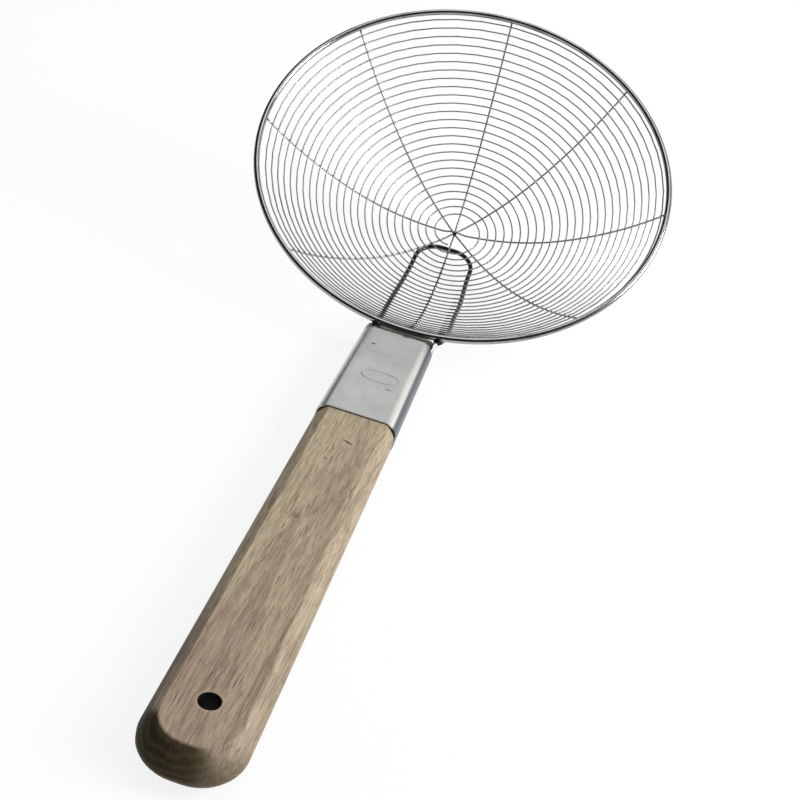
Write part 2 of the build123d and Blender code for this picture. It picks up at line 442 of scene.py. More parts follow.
spotFinish = {
    "shade": (0.6, 0.6, 0.6), "dark": (0.3, 0.3, 0.31), "smooth": 0.14, "rough": 0.3,
    "dimpleSize": 700.0, "bump": 0.3, "bumpDepth": 0.1,
}
spotSteel, place, surface = finish("spotSteel", Metallic=1.0)
dimple = grain(place, spotFinish["dimpleSize"], 2.0)
feed(surface,
     Base_Color=between(dimple.band(0.45, 0.7), spotFinish),
     Roughness=dimple.band(0.3, 0.7, spotFinish["smooth"], spotFinish["rough"]),
     Normal=raised(dimple, spotFinish["bump"], spotFinish["bumpDepth"]))

weldFinish = {
    "shade": (0.07, 0.068, 0.068), "dark": (0.016, 0.015, 0.015), "smooth": 0.3, "rough": 0.55,
    "crustSize": 900.0, "bump": 0.6, "bumpDepth": 0.2,
}
weldSteel, place, surface = finish("weldSteel", Metallic=0.9)
crust = grain(place, weldFinish["crustSize"], 4.0)
feed(surface,
     Base_Color=between(crust.band(0.35, 0.65), weldFinish),
     Roughness=crust.band(0.3, 0.7, weldFinish["smooth"], weldFinish["rough"]),
     Normal=raised(crust, weldFinish["bump"], weldFinish["bumpDepth"]))


# Rim

rim = {
    "wire": 3.2, "around": 288, "sides": 24,
    "weldAngle": 66.0, "weldSwell": 0.12, "weldReach": 1.6,
    "weldCut": 4.6, "weldCuts": 3,        # faces this near the weld are divided this often
}


def onRim(angle):
    # on the rim wire's middle line, before it is tilted and moved to its place
    return Vector((cos(angle), sin(angle), 0)) * bowl["rimRadius"] * mm


startFresh()
bpy.ops.mesh.primitive_torus_add(
    major_segments=rim["around"], minor_segments=rim["sides"],
    major_radius=bowl["rimRadius"] * mm, minor_radius=rim["wire"] / 2 * mm)
rimWire = newest("rimWire")
weldAngle = radians(rim["weldAngle"])
edit(rimWire)
pick(rimWire, lambda v: (v.co - onRim(weldAngle)).length < rim["weldCut"] * mm)
bpy.ops.mesh.subdivide(number_cuts=rim["weldCuts"])
bpy.ops.object.mode_set(mode="OBJECT")
for vertex in rimWire.data.vertices:  # the butt weld stands a little proud
    angle = atan2(vertex.co.y, vertex.co.x)
    away = (angle - weldAngle) * bowl["rimRadius"] / rim["weldReach"]
    out = (vertex.co - onRim(angle)).normalized() * rim["wire"] / 2 * mm
    vertex.co = onRim(angle) + out * (1 + rim["weldSwell"] / (rim["wire"] / 2) * exp(-away ** 4))
rimWire.matrix_world = Matrix.Translation(bowlCentre * mm) @ tilted.to_4x4()
done(rimWire)
for face in rimWire.data.polygons:
    face.use_smooth = True
dress(rimWire, rimSteel, "rim_steel", "rim_ring")
print("rim:", len(rimWire.data.polygons), "faces")


# Cross wires

spokes = {
    "wire": 1.0, "angles": (92.0, 139.0, 50.0, 4.0), "hubStep": 1.03, "hubReach": 7.0,
    "rimGap": 1.63,           # from the rim wire's middle back to a cross wire's end
    "sides": 3, "probe": 0.002,   # slope step that gives a wire's direction
}
hubSlope = asin(spokes["hubReach"] / bottomRadius)
endSlope = rimAngle - spokes["rimGap"] / wallRadius
for count, angle in enumerate(spokes["angles"]):
    hubLift = (count - 1.5) * spokes["hubStep"]
    stations = []
    for side in (1, -1):
        slopes = [endSlope, bottomAngle, hubSlope]
        if side < 0:
            slopes.reverse()
            stations.append((fromBowl(0, 0, hubLift - bowl["depth"]),
                             bowlWay(-cos(radians(angle)), -sin(radians(angle)), 0)))
        here = angle if side > 0 else angle + 180
        for slope in slopes:
            inner = onBowl(slope - spokes["probe"], here, 0)
            outer = onBowl(slope + spokes["probe"], here, 0)
            stations.append((onBowl(slope, here, 0), (inner - outer).normalized() * side))
    piece = bentWire(f"crossWire{count + 1}", stations, spokes["wire"] * mm, spokes["sides"])
    dress(piece, meshSteel, "mesh_steel", f"cross_wire_{count + 1}")
print("cross wires:", len(spokes["angles"]))


# Spiral

spiral = {
    "wire": 0.8, "turns": 24.8, "startAngle": 264.0,
    "innerLength": 10.9, "pitch": 4.6,    # along the slope
    "curl": 1.5, "curlTurns": 0.22,       # the free end bends inwards
    "shift": 1.1, "shiftTurns": 9.0,      # wound a little off centre, away from the handle
    "endTurns": 0.12, "endReach": 1.5,    # the last bit runs out to the rim wire
    "high": 0.92, "low": 0.55, "rideOver": 2.2,
    "rideReach": 1.6, "rideMost": 0.3,    # stops stand closer this far from a crossing
    "rideShares": (0.3, 0.62), "spanSteps": 6, "sides": 2,
}
bothEnds = [angle % 360 for spoke in spokes["angles"] for angle in (spoke, spoke + 180)]


def spiralLength(turns):
    angle = radians(spiral["startAngle"] - 360 * turns)
    length = spiral["innerLength"] + spiral["pitch"] * turns
    length -= spiral["curl"] * exp(-turns / spiral["curlTurns"])
    length += spiral["shift"] * min(1, turns / spiral["shiftTurns"]) * sin(angle)
    left = spiral["turns"] - turns
    if left < spiral["endTurns"]:
        length += spiral["endReach"] * (1 - left / spiral["endTurns"]) ** 2
    return length


def spiralPlace(turns):
    # the wire rides over each cross wire and lies lower between them
    length = spiralLength(turns)
    slope = slopeAt(length)
    radius = section(slope, 0)[0]
    angle = spiral["startAngle"] - 360 * turns
    nearest = min(abs((angle - end + 180) % 360 - 180) for end in bothEnds)
    away = radians(nearest) * radius / spiral["rideOver"]
    lift = spiral["low"] + (spiral["high"] - spiral["low"]) * exp(-away ** 2)
    return onBowl(slope, angle, lift)


crossings = sorted(
    turn + (spiral["startAngle"] - end) % 360 / 360
    for turn in range(int(spiral["turns"]) + 2) for end in bothEnds)
crossings = [turns for turns in crossings if turns < spiral["turns"]]
stops = [0.0]
for first, second in zip([0.0] + crossings, crossings + [spiral["turns"]]):
    radius = section(slopeAt(spiralLength(second)), 0)[0]
    reach = spiral["rideOver"] * spiral["rideReach"] / (2 * pi * radius)
    reach = min(reach, (second - first) * spiral["rideMost"])
    start, end = first + reach, second - reach
    steps = spiral["spanSteps"]
    if second > first:
        stops += [first + reach * share for share in spiral["rideShares"]]
        stops += [start + (end - start) * step / steps for step in range(steps + 1)]
        stops += [second - reach * share for share in reversed(spiral["rideShares"])] + [second]
spiralPlaces = [spiralPlace(turns) for turns in stops]
spiralWire = tube("spiralWire", spiralPlaces, spiral["wire"] * mm, spiral["sides"])
dress(spiralWire, meshSteel, "mesh_steel", "spiral_wire")
print("spiral:", len(stops), "stops,", len(spiralWire.data.polygons), "faces,",
      len(crossings), "crossings")


# Spot welds of spiral and cross wires

spotWeld = {
    "size": (0.62, 0.85, 0.5), "lift": 0.42,
    "least": 0.88, "spread": 0.24, "kinds": 11, "stride": 37,   # no two neighbours are alike
}
unitBall = (1 / mm, 1 / mm, 1 / mm)   # the size of a bead that each copy scales down


def bead(name, place, size, up, along, rings):
    # a small flattened bead with its top towards up
    startFresh()
    bpy.ops.mesh.primitive_ico_sphere_add(subdivisions=rings, radius=1.0)
    piece = newest(name)
    across = along.cross(up).normalized()
    along = up.cross(across).normalized()
    turn = Matrix((across, along, up)).transposed()
    piece.data.transform(Matrix.LocRotScale(place, turn, Vector(size) * mm))
    for face in piece.data.polygons:
        face.use_smooth = True
    return piece


beads = []
spotShape = bead("spot", Vector((0, 0, 0)), unitBall, Vector((0, 0, 1)), Vector((0, 1, 0)), 1)
for index, turns in enumerate(crossings):
    slope = slopeAt(spiralLength(turns))
    angle = spiral["startAngle"] - 360 * turns
    place = onBowl(slope, angle, spotWeld["lift"])
    up = (onBowl(slope, angle, 1) - onBowl(slope, angle, 0)).normalized()
    along = (onBowl(slope + 0.01, angle, 0) - onBowl(slope, angle, 0)).normalized()
    across = along.cross(up).normalized()
    kind = index * spotWeld["stride"] % spotWeld["kinds"] / spotWeld["kinds"]
    grown = Vector(spotWeld["size"]) * mm * (spotWeld["least"] + spotWeld["spread"] * kind)
    copy = spotShape.copy()
    copy.data = spotShape.data.copy()
    copy.data.transform(Matrix.LocRotScale(place, Matrix((across, along, up)).transposed(), grown))
    bpy.context.scene.collection.objects.link(copy)
    beads.append(copy)
bpy.data.objects.remove(spotShape)
spotWelds = joined(beads, "spotWelds")
dress(spotWelds, spotSteel, "mesh_steel")
print("spot welds:", len(crossings), "welds,", len(spotWelds.data.polygons), "faces")


# Support loop

loop = {
    "wire": 2.5, "legX": 15.5, "middleX": 17.0, "top": 10.6, "corner": 12.6, "bend": 14.5,
    "grip": 36.0, "legZ": 8.0, "levelInset": 1.1, "gap": 0.03, "sides": 6,
    "rimX": 15.3, "rimLean": 2.9, "middleLean": 0.8,   # it leans a little to one side
    "sideWay": 0.16, "leanWay": 0.05, "probe": 0.02,
}
loopDrop = (spokes["wire"] + loop["wire"]) / 2 + loop["gap"]
rimClearance = (rim["wire"] + loop["wire"]) / 2 + 2 * loop["gap"]


def underBowl(x, y, way):
    def at(offset):
        flat = Vector((x, y)) + Vector(way) * offset
        return onBowl(slopeAtRadius(flat.length), degrees(atan2(flat.y, flat.x)), -loopDrop)
    return at(0), (at(loop["probe"]) - at(-loop["probe"])).normalized()


slopeWay = bowlWay(0, -cos(rimAngle), sin(rimAngle))
downWay = bowlWay(0, -sin(rimAngle), -cos(rimAngle))


def legStations(side):
    # from the closed end down into the ferrule; side is 1 on the right, -1 on the left
    rimX = loop["rimLean"] + side * loop["rimX"]
    rimPlace = fromBowl(rimX, -sqrt(bowl["rimRadius"] ** 2 - rimX ** 2), 0)
    levelY = fromBowl(0, -bowl["rimRadius"], 0).y + (loop["levelInset"] - loop["bend"]) * mm
    level = Vector((side * loop["legX"] * mm, levelY, loop["legZ"] * mm))
    sideWay = Vector((-side * loop["sideWay"] - loop["leanWay"], 0, 0))
    return [
        underBowl(side * (loop["legX"] - loop["corner"]), -loop["top"], (side, 0)),
        underBowl(side * loop["legX"], -loop["top"] - loop["corner"], (0, -1)),
        underBowl(loop["middleLean"] + side * loop["middleX"], -bottomReach, (0, -1)),
        (rimPlace + downWay * rimClearance * mm, (slopeWay + sideWay).normalized()),
        (level, Vector((0, -1, 0))),
        (level - Vector((0, loop["grip"] * mm, 0)), Vector((0, -1, 0))),
    ]


rightLeg, leftLeg = legStations(1), legStations(-1)
loopStations = [(place, -way) for place, way in reversed(leftLeg)]
loopStations += [underBowl(0, -loop["top"], (1, 0))] + rightLeg
supportLoop = bentWire("supportLoop", loopStations, loop["wire"] * mm, loop["sides"])
dress(supportLoop, loopSteel, "rim_steel", "support_loop")
print("support loop:", len(supportLoop.data.polygons), "faces")


# Weld beads on the heavy wires

heavyWeld = {
    "loopSize": (2.0, 2.3, 2.1), "loopUp": 1.5, "loopShift": (0.4, -0.5),
    "endSize": (0.85, 0.95, 0.7), "probe": 0.02,
    "hubSize": (1.3, 1.4, 1.5), "hubUp": 0.2,
}
heavyWelds = []
for side, leg in ((1, rightLeg), (-1, leftLeg)):   # where the loop crosses under the rim
    shiftX, shiftY = heavyWeld["loopShift"]
    place = leg[3][0] - downWay * heavyWeld["loopUp"] * mm + Vector((side * shiftX, shiftY, 0)) * mm
    heavyWelds.append(bead("weld", place, heavyWeld["loopSize"], downWay, Vector((1, 0, 0)), 3))
for end in bothEnds:   # where the cross wires meet the rim
    place = onBowl(endSlope, end, 0)
    along = (place - onBowl(endSlope - heavyWeld["probe"], end, 0)).normalized()
    up = along.cross(bowlWay(0, 0, 1))
    heavyWelds.append(bead("weld", place, heavyWeld["endSize"], up, along, 2))
hub = fromBowl(0, 0, heavyWeld["hubUp"] - bowl["depth"])
heavyWelds.append(bead("weld", hub, heavyWeld["hubSize"], bowlWay(0, 0, 1), bowlWay(0, 1, 0), 3))
beadMetal = joined(heavyWelds, "heavyWelds")
dress(beadMetal, weldSteel, "rim_steel")
print("heavy welds:", len(beadMetal.data.polygons), "faces")


# Ferrule

ferrule = {
    "width": 37.0, "noseWidth": 35.2, "height": 16.0, "corner": 5.5, "noseCorner": 8.0,
    "jointY": -30.209, "topEdgeY": 49.291, "noseY": 61.291, "noseHeight": 11.65, "sheet": 0.6,
    "stampWidth": 18.5, "stampLength": 10.0, "stampX": 1.2, "stampInset": 44.0,
    "stampWire": 0.8, "stampInside": 0.35, "stampLift": 0.12, "stampFlat": 0.7,
    "foldRadius": 5.0, "foldSteps": 5, "noseSteps": 10, "cornerSteps": 7, "entryRoom": 1.0,
    "pricks": (((-9.0, 33.4, 16.15), (0.55, 0.3, 0.4)), ((7.4, -3.2, 16.12), (1.4, 0.25, 0.3))),
    "mergeReach": 0.004, "flatEdge": 0.003, "holeSides": 12, "smoothAngle": 28,
}
startFresh()
length = ferrule["noseY"] - ferrule["jointY"]
middleY = (ferrule["noseY"] + ferrule["jointY"]) / 2
bpy.ops.mesh.primitive_cube_add(
    size=1, location=(0, middleY * mm, ferrule["height"] / 2 * mm),
    scale=(ferrule["width"] * mm, length * mm, ferrule["height"] * mm))
sleeve = done(newest("ferruleSleeve"))
edit(sleeve)
pick(sleeve, lambda v: v.co.y > middleY * mm)
bpy.ops.transform.resize(value=(ferrule["noseWidth"] / ferrule["width"], 1, 1))
pick(sleeve, lambda e: all(v.co.y > middleY * mm for v in e.verts) and rise(e) > upright, "EDGE")
bpy.ops.mesh.bevel(offset=ferrule["noseCorner"] * mm, segments=ferrule["noseSteps"],
                   affect="EDGES", clamp_overlap=False)
pick(sleeve, lambda e: rise(e) < slack
     and not all(v.co.y < (ferrule["jointY"] + slack) * mm for v in e.verts), "EDGE")
bpy.ops.mesh.bevel(offset=ferrule["corner"] * mm, segments=ferrule["cornerSteps"],
                   affect="EDGES", clamp_overlap=False)
slopeAngle = atan2(ferrule["height"] - ferrule["noseHeight"], ferrule["noseY"] - ferrule["topEdgeY"])
foldAxis = Vector((0, ferrule["topEdgeY"] - ferrule["foldRadius"] * tan(slopeAngle / 2),
                   ferrule["height"] - ferrule["foldRadius"]))
for step in range(1, ferrule["foldSteps"] + 1):  # the top folds down in a round to the sloped front
    angle = slopeAngle * step / ferrule["foldSteps"]
    out = Vector((0, sin(angle), cos(angle)))
    bpy.ops.mesh.select_all(action="SELECT")
    bpy.ops.mesh.bisect(plane_co=(foldAxis + out * ferrule["foldRadius"]) * mm, plane_no=out,
                        use_fill=True, clear_outer=True)
bpy.ops.object.mode_set(mode="OBJECT")
edit(sleeve)
pick(sleeve, lambda f: f.normal.y < -0.99
     and f.calc_center_median().y < (ferrule["jointY"] + 0.1) * mm, "FACE")
bpy.ops.mesh.delete(type="FACE")
bpy.ops.object.mode_set(mode="OBJECT")
modify(sleeve, "SOLIDIFY", thickness=ferrule["sheet"] * mm, offset=-1, use_even_offset=True)

startFresh()
bpy.ops.mesh.primitive_torus_add(
    location=(ferrule["stampX"] * mm, (ferrule["topEdgeY"] - ferrule["stampInset"]) * mm,
              (ferrule["height"] + ferrule["stampLift"]) * mm),
    major_segments=96, minor_segments=12,
    major_radius=(ferrule["stampWidth"] / 2 - ferrule["stampInside"]) * mm,
    minor_radius=ferrule["stampWire"] / 2 * mm)
stamp = newest("stamp")
stamp.scale = (1, ferrule["stampLength"] / ferrule["stampWidth"], ferrule["stampFlat"])
cutAway(sleeve, done(stamp))
for leg in (rightLeg, leftLeg):
    cutAway(sleeve, bentWire("entry", leg[3:5], (loop["wire"] + ferrule["entryRoom"]) * mm, 6))
for place, size in ferrule["pricks"]:
    prick = bead("prick", Vector(place) * mm, size, Vector((0, 0, 1)), Vector((0, 1, 0)), 2)
    cutAway(sleeve, prick)
edit(sleeve)   # slivers that the cuts leave go, and the sheet is one closed shell
bpy.ops.mesh.select_all(action="SELECT")
bpy.ops.mesh.remove_doubles(threshold=ferrule["mergeReach"] * mm)
bpy.ops.mesh.dissolve_degenerate(threshold=ferrule["flatEdge"] * mm)
pick(sleeve, lambda v: v.co.z > (ferrule["height"] - slack) * mm)
bpy.ops.mesh.select_linked()
bpy.ops.mesh.select_all(action="INVERT")
bpy.ops.mesh.delete(type="VERT")
bpy.ops.mesh.select_all(action="SELECT")
bpy.ops.mesh.fill_holes(sides=ferrule["holeSides"])
bpy.ops.mesh.normals_make_consistent(inside=False)
bpy.ops.object.mode_set(mode="OBJECT")
smooth(sleeve, ferrule["smoothAngle"])

ferruleFinish = {
    # the pale right roundover is a painted highlight, the lighter left edge a painted reflection, the
    # dark blue-grey right side face a painted dark reflection, and the dark sloped nose painted shade
    "shade": (0.5, 0.5, 0.485), "cloud": (0.43, 0.43, 0.415), "dirt": (0.16, 0.13, 0.1),
    "cream": (0.95, 0.94, 0.89), "side": (0.115, 0.125, 0.15), "leftEdge": (0.74, 0.74, 0.76),
    "stain": (0.23, 0.21, 0.18), "darkMarkAndShade": (0.02, 0.018, 0.016),
    "cloudSize": 60.0, "spotSize": 420.0, "lineStretch": (240, 2400, 700),
    "smudgeStretch": (110, 420, 100),
    "roughness": 0.22, "cloudRoughness": 0.12, "lineRoughness": 0.16,
    "spotShare": 0.35, "smudgeShare": 0.16, "edgeShare": 0.6, "edgeReach": 1.2,
    # bands of painted light from the right and left edge, and along Y: a painted highlight on the right
    # roundover, a painted reflection on the left edge, a painted dark reflection on the right side
    # face, painted shade on the sloped nose; where each begins and is full, share
    "halfWidth": 18.0, "taper": 0.0098, "paintedHighlightBand": (-5.2, -2.6, 0.9),
    "paintedLeftReflectionBand": (4.8, 1.2, 0.85), "paintedSideReflectionBand": (-2.2, -1.0, 1.0), "paintedNoseShadeBand": (49.0, 50.0, 0.92),
    "paintedNoseShadeWave": 1.2,
    # dark pricks and a scratch: place across and along, half length and half width, mm
    "marks": (
        (3.2, 48.9, 1.1, 0.8), (7.4, -3.2, 1.7, 0.3), (-9.0, 33.4, 1.2, 0.6), (4.6, 48.6, 0.6, 0.5)),
    "markShare": 0.85, "bump": 0.22, "bumpDepth": 0.12, "cloudBump": 0.6,
}


def edgeBand(value, kind):
    start, full, share = ferruleFinish[kind]
    return value.band(start * mm, full * mm, 0.0, share)


ferruleSteel, place, surface = finish("ferruleSteel", Metallic=1.0)
acrossX, alongY, upZ = axes(place)
lines = grain(stretched(place, ferruleFinish["lineStretch"]), 1.0, 3.0, 0.6)
cloud = grain(place, ferruleFinish["cloudSize"], 4.0, 0.6)
spots = grain(place, ferruleFinish["spotSize"], 2.0).band(0.7, 0.78)
smudge = grain(stretched(place, ferruleFinish["smudgeStretch"]), 1.0, 3.0).band(0.58, 0.72)
fromJoint = alongY - ferrule["jointY"] * mm
edgeDirt = fromJoint.band(0.0, ferruleFinish["edgeReach"] * mm, 1.0, 0.0)
dirt = (spots * ferruleFinish["spotShare"] + edgeDirt * ferruleFinish["edgeShare"]
        + smudge * ferruleFinish["smudgeShare"]).low(1.0)
halfWidth = ferruleFinish["halfWidth"] * mm - fromJoint * ferruleFinish["taper"]
shade = between(cloud.band(0.3, 0.75), ferruleFinish, last="cloud")
# after the real dirt, painted highlight, painted reflection and painted shade are laid on by place
for mask, layer in (
        (dirt, "dirt"),
        (edgeBand(acrossX - halfWidth, "paintedHighlightBand"), "cream"),
        (edgeBand(acrossX + halfWidth, "paintedLeftReflectionBand"), "leftEdge"),
        (edgeBand(acrossX - halfWidth, "paintedSideReflectionBand"), "side"),
        (edgeBand(alongY + cloud * ferruleFinish["paintedNoseShadeWave"] * mm, "paintedNoseShadeBand"), "stain")):
    shade = mask.blend(shade, ferruleFinish[layer])
for markX, markY, markLong, markWide in ferruleFinish["marks"]:
    away = ((acrossX / mm - markX) / markLong) ** 2 + ((alongY / mm - markY) / markWide) ** 2
    shade = away.band(0.6, 1.4, ferruleFinish["markShare"], 0.0).blend(shade, ferruleFinish["darkMarkAndShade"])
feed(surface,
     Base_Color=shade,
     Roughness=(cloud * ferruleFinish["cloudRoughness"] + lines * ferruleFinish["lineRoughness"]
                + ferruleFinish["roughness"]),
     Normal=raised(lines + cloud * ferruleFinish["cloudBump"],
                   ferruleFinish["bump"], ferruleFinish["bumpDepth"]))
dress(sleeve, ferruleSteel, "ferrule_steel", "ferrule")
print("ferrule:", len(sleeve.data.polygons), "faces")


# Handle

handle = {
    "jointY": -30.509, "buttY": -246.209, "jointWidth": 36.6, "buttWidth": 37.7,
    "jointLow": 0.5, "jointHigh": 15.5, "buttHigh": 14.0, "buttCorner": 17.0,
    "edge": 5.3, "buttEdge": 8.2, "edgeRound": 0.36, "tenon": 14.0, "tenonInset": 0.25,
    "hole": 8.0, "holeInset": 28.0, "holeEdge": 0.35,
    "splitZ": 5.0,            # lower corners lie below this, upper ones above
    "levelRise": 2.5, "longEdge": 50.0, "buttSteps": 14, "edgeSteps": 6, "smoothAngle": 13,
}
splitZ = handle["splitZ"] * mm
startFresh()
length = handle["jointY"] - handle["buttY"]
middleY = (handle["jointY"] + handle["buttY"]) / 2
bpy.ops.mesh.primitive_cube_add(
    size=1, location=(0, middleY * mm, handle["buttHigh"] / 2 * mm),
    scale=(handle["buttWidth"] * mm, length * mm, handle["buttHigh"] * mm))
wood = done(newest("handleWood"))
edit(wood)
pick(wood, lambda v: v.co.y > middleY * mm)
bpy.ops.transform.resize(value=(handle["jointWidth"] / handle["buttWidth"], 1, 1))
pick(wood, lambda v: v.co.y > middleY * mm and v.co.z > splitZ)
bpy.ops.transform.translate(value=(0, 0, (handle["jointHigh"] - handle["buttHigh"]) * mm))
pick(wood, lambda v: v.co.y > middleY * mm and v.co.z < splitZ)
bpy.ops.transform.translate(value=(0, 0, handle["jointLow"] * mm))
pick(wood, lambda e: all(v.co.y < middleY * mm for v in e.verts) and rise(e) > upright, "EDGE")
bpy.ops.mesh.bevel(offset=handle["buttCorner"] * mm, segments=handle["buttSteps"],
                   affect="EDGES", clamp_overlap=False)
bpy.ops.object.mode_set(mode="OBJECT")
weights = wood.data.attributes.new("bevel_weight_edge", "FLOAT", "EDGE")
for edge in wood.data.edges:
    ends = [wood.data.vertices[index].co for index in edge.vertices]
    level = abs(ends[0].z - ends[1].z) < handle["levelRise"] * mm
    atJoint = all(end.y > (handle["jointY"] - slack) * mm for end in ends)
    if level and not atJoint:
        reach = (min(end.y for end in ends) / mm - handle["buttY"]) / handle["buttCorner"]
        share = handle["edge"] / handle["buttEdge"]
        plain = abs(ends[0].y - ends[1].y) > handle["longEdge"] * mm or ends[0].z < splitZ
        weights.data[edge.index].value = share if plain else 1 - (1 - share) * min(1, reach)
modify(wood, "BEVEL", width=handle["buttEdge"] * mm, segments=handle["edgeSteps"],
       limit_method="WEIGHT", profile=handle["edgeRound"], use_clamp_overlap=False)
edit(wood)
pick(wood, lambda f: f.normal.y > 0.99
     and f.calc_center_median().y > (handle["jointY"] - 0.1) * mm, "FACE")
bpy.ops.mesh.inset(thickness=handle["tenonInset"] * mm)
bpy.ops.mesh.extrude_region_move(TRANSFORM_OT_translate={"value": (0, handle["tenon"] * mm, 0)})
bpy.ops.object.mode_set(mode="OBJECT")
startFresh()
holeY = handle["buttY"] + handle["holeInset"]
bpy.ops.mesh.primitive_cylinder_add(
    vertices=64, radius=handle["hole"] / 2 * mm, depth=40 * mm,
    location=(0, holeY * mm, handle["buttHigh"] / 2 * mm))
cutAway(wood, done(newest("drill")))


def onHole(place):
    fromAxis = (place - Vector((0, holeY * mm, place.z))).length
    return abs(fromAxis - handle["hole"] / 2 * mm) < 2 * slack * mm


edit(wood)
pick(wood, lambda e: all(onHole(v.co) for v in e.verts) and rise(e) < handle["holeEdge"], "EDGE")
bpy.ops.mesh.bevel(offset=handle["holeEdge"] * mm, segments=2, affect="EDGES")
bpy.ops.object.mode_set(mode="OBJECT")
smooth(wood, handle["smoothAngle"])

woodFinish = {
    "pale": (0.5, 0.42, 0.278), "body": (0.385, 0.314, 0.212), "pink": (0.4, 0.295, 0.22),
    "ring": (0.17, 0.12, 0.08), "mauve": (0.23, 0.135, 0.115), "pore": (0.07, 0.045, 0.03),
    # side and end, the darkest colours, are partly the wood's own tone and partly painted shade
    "side": (0.092, 0.079, 0.036), "end": (0.021, 0.014, 0.005), "endPale": (0.12, 0.088, 0.038),
    "black": (0.008, 0.007, 0.006), "halo": (0.42, 0.34, 0.22),
    "ringSize": 82.0, "ringBend": 5.0, "boardTurn": (2.4, 0, -1.2), "boardShift": (0.004, 0, 0.021),
    "turn": 1.6,              # of the grain, in degrees
    # each grain: stretch, detail, roughness, distortion, shift
    "wide": ((95, 4.5, 60), 3.0, 0.5, 1.2, 0), "swirl": ((150, 13, 110), 3.0, 0.55, 1.6, 0),
    "streak": ((420, 17, 240), 4.0, 0.62, 1.0, 0), "fine": ((1500, 90, 800), 4.0, 0.7, 0.5, 0),
    "pores": ((2100, 110, 1300), 2.0, 0.5, 0, 0), "patch": ((34, 9, 26), 2.0, 0.55, 0, 0.3),
    "pinkShare": 0.9, "ringShare": 0.3, "streakShare": 0.5, "fineShare": 0.7, "paleShare": 0.4,
    "poreShare": 0.6, "sideDepth": (0.4, 4.0), "topSlope": 0.00695, "topHigh": 15.71,
    # small dark marks: place across and along, half width, half length, slope, share
    "ticks": (
        (1.9, -52.5, 2.4, 0.9, -0.42, 0.9), (-3.4, -111.0, 1.7, 2.1, 0.0, 0.35),
        (-3.4, -111.6, 0.8, 0.9, 0.0, 0.3), (-3.9, -68.4, 0.5, 1.2, 0.0, 0.7)),
    "bump": 0.4, "bumpDepth": 0.3,
}
handleWood, place, surface = finish("handleWood", Specular_IOR_Level=0.25)
acrossX, alongY, upZ = axes(place)
run = stretched(place, (1, 1, 1), (0, 0, radians(woodFinish["turn"])))
boardTurn = [radians(angle) for angle in woodFinish["boardTurn"]]
board = stretched(place, (1.0, 0.16, 1.0), boardTurn, woodFinish["boardShift"])
rings = place.node(
    "ShaderNodeTexWave", {"wave_type": "RINGS", "rings_direction": "Y", "wave_profile": "SAW"},
    {"Vector": board, "Scale": woodFinish["ringSize"], "Distortion": woodFinish["ringBend"],
     "Detail": 2.0, "Detail Scale": 0.9, "Detail Roughness": 0.5}, output=1)


def woodGrain(kind):
    size, detail, roughness, distortion, shift = woodFinish[kind]
    return grain(stretched(run, size, shift=(shift, 0, 0)), 1.0, detail, roughness, distortion)


swirl, fine = woodGrain("swirl"), woodGrain("fine")
pores = woodGrain("pores").band(0.58, 0.72)
nearButt = alongY.band(-0.145, -0.2, 0.25, 1.0)
below = alongY * woodFinish["topSlope"] + woodFinish["topHigh"] * mm - upZ   # from the top down
onSide = below.band(*(depth * mm for depth in woodFinish["sideDepth"]))
# the side faces are darkened, most on the left towards the butt and a little on the right: partly the
# wood's own darker edges, partly painted shade
leftSide = onSide * acrossX.band(-0.006, -0.014) * alongY.band(-0.08, -0.225, 0.0, 0.9)
rightSide = onSide * acrossX.band(0.006, 0.014)
rightSide = rightSide * (alongY.band(-0.05, -0.22, 0.02, 0.3) + alongY.band(-0.224, -0.243) * 0.3)
shade = between(woodGrain("wide").band(0.36, 0.62), woodFinish, "pale", "body")
for mask, layer in (
        (woodGrain("patch").band(0.4, 0.6) * nearButt * woodFinish["pinkShare"], "pink"),
        (swirl.band(0.53, 0.64) * (nearButt * 0.62 + 0.06), "mauve"),
        (rings.band(0.55, 1.0) * woodFinish["ringShare"], "ring"),
        (woodGrain("streak").band(0.48, 0.7) * woodFinish["streakShare"], "ring"),
        (fine.band(0.44, 0.7) * woodFinish["fineShare"], "ring"),
        (fine.band(0.48, 0.3) * woodFinish["paleShare"], "pale"),
        (pores * woodFinish["poreShare"], "pore"),
        (leftSide, "side"),
        (rightSide, "side")):
    shade = mask.blend(shade, woodFinish[layer])
wave = below * 3600 + swirl * 8 + acrossX * 420 + alongY * 900   # the dark layers of the end grain
layers = wave.sum("SINE", wave).band(-0.6, 1.0)
paleEnd = layers * 0.27 + fine * 0.5 + acrossX.band(-0.012, 0.01) * 0.28 - 0.15
# the butt's end face is dark: partly the end grain's own darker tone, partly painted shade
onEnd = below.band(0.00003, 0.0004) * (alongY + acrossX * 0.5).band(-0.2320, -0.2385)
onEnd = onEnd * acrossX.band(0.003, 0.012, 0.98, 0.6)
shade = onEnd.blend(shade, between(paleEnd, woodFinish, "end", "endPale"))
for markX, markY, markWide, markLong, markSlope, share in woodFinish["ticks"]:
    fromX, fromY = acrossX / mm - markX, alongY / mm - markY
    away = (fromX / markWide) ** 2 + ((fromY - fromX * markSlope) / markLong) ** 2
    mask = away.band(0.3, 1.2, share, 0.0) * below.band(0.0015, 0.0008)
    shade = mask.blend(shade, woodFinish["pore"])
fromHoleY = alongY - holeY * mm
fromHole = (acrossX * acrossX + fromHoleY * fromHoleY) ** 0.5
shade = fromHole.band(4.4 * mm, 5.6 * mm, 0.5, 0.0).blend(shade, woodFinish["halo"])
shade = fromHole.band(4.02 * mm, 4.15 * mm, 1.0, 0.0).blend(shade, woodFinish["black"])
feed(surface,
     Base_Color=shade,
     Roughness=fine.band(0.3, 0.7, 0.5, 0.62),
     Normal=raised(fine + pores * -0.8, woodFinish["bump"], woodFinish["bumpDepth"]))
dress(wood, handleWood, "handle_wood", "handle")
print("handle:", len(wood.data.polygons), "faces")


# Floor, light and camera

